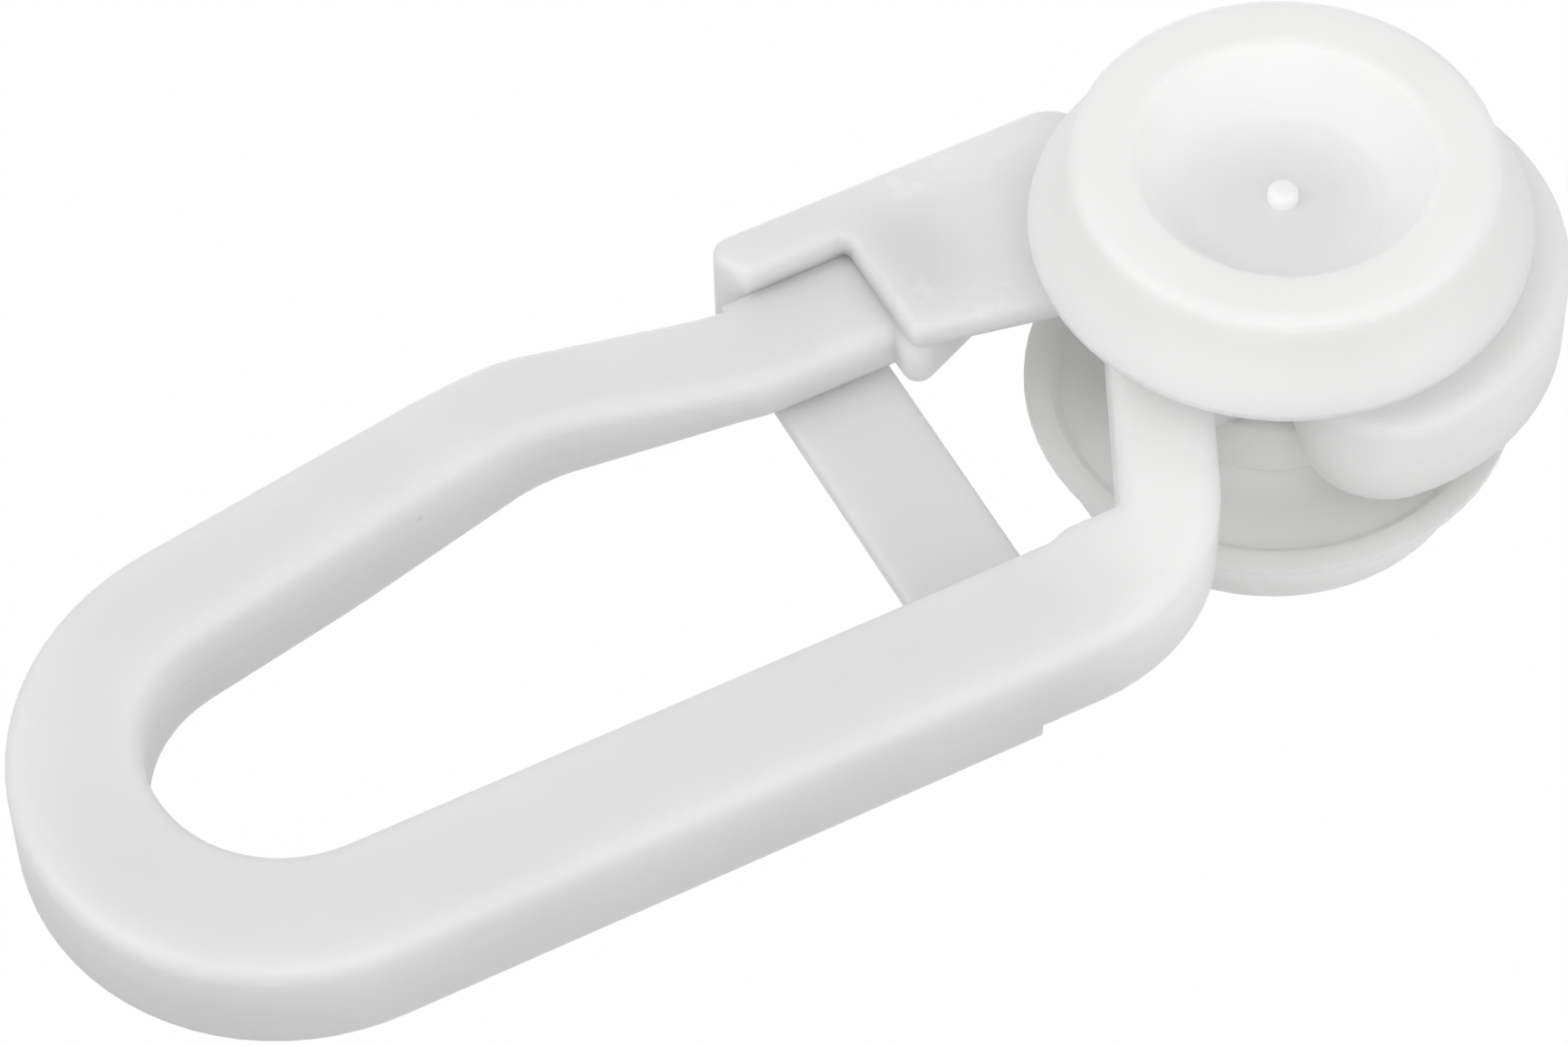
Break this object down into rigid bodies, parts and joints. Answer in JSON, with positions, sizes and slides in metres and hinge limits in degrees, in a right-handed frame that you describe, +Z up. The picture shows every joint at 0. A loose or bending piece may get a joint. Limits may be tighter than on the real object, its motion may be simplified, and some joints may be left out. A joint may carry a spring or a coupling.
{
  "type": "curtain glider",
  "caption": "Translucent white plastic curtain glider: a click-open hook loop hanging from a rounded head that runs between coned rollers in a ceiling rail.",
  "frame": {"origin": "on the rollers' axis, at the middle of the body's depth", "axes": "+X along the rail from the clip side to the plain bar's side, +Y along the axle towards the rear roller, +Z up"},
  "size_m": [0.012, 0.0084, 0.0324],
  "materials": {
    "body_plastic": "moulded, milky, half gloss",
    "roller_plastic": "moulded, milky, half gloss"
  },
  "bodies": {
    "body": {"glider_body": "body_plastic"},
    "front_roller": {"front_roller": "roller_plastic"},
    "rear_roller": {"rear_roller": "roller_plastic"}
  },
  "joints": [
    {"name": "front_roller_spin", "type": "hinge", "parent": "body", "child": "front_roller", "pos_m": [0, 0, 0], "axis": [0, 1, 0], "continuous": true},
    {"name": "rear_roller_spin", "type": "hinge", "parent": "body", "child": "rear_roller", "pos_m": [0, 0, 0], "axis": [0, 1, 0], "continuous": true}
  ]
}
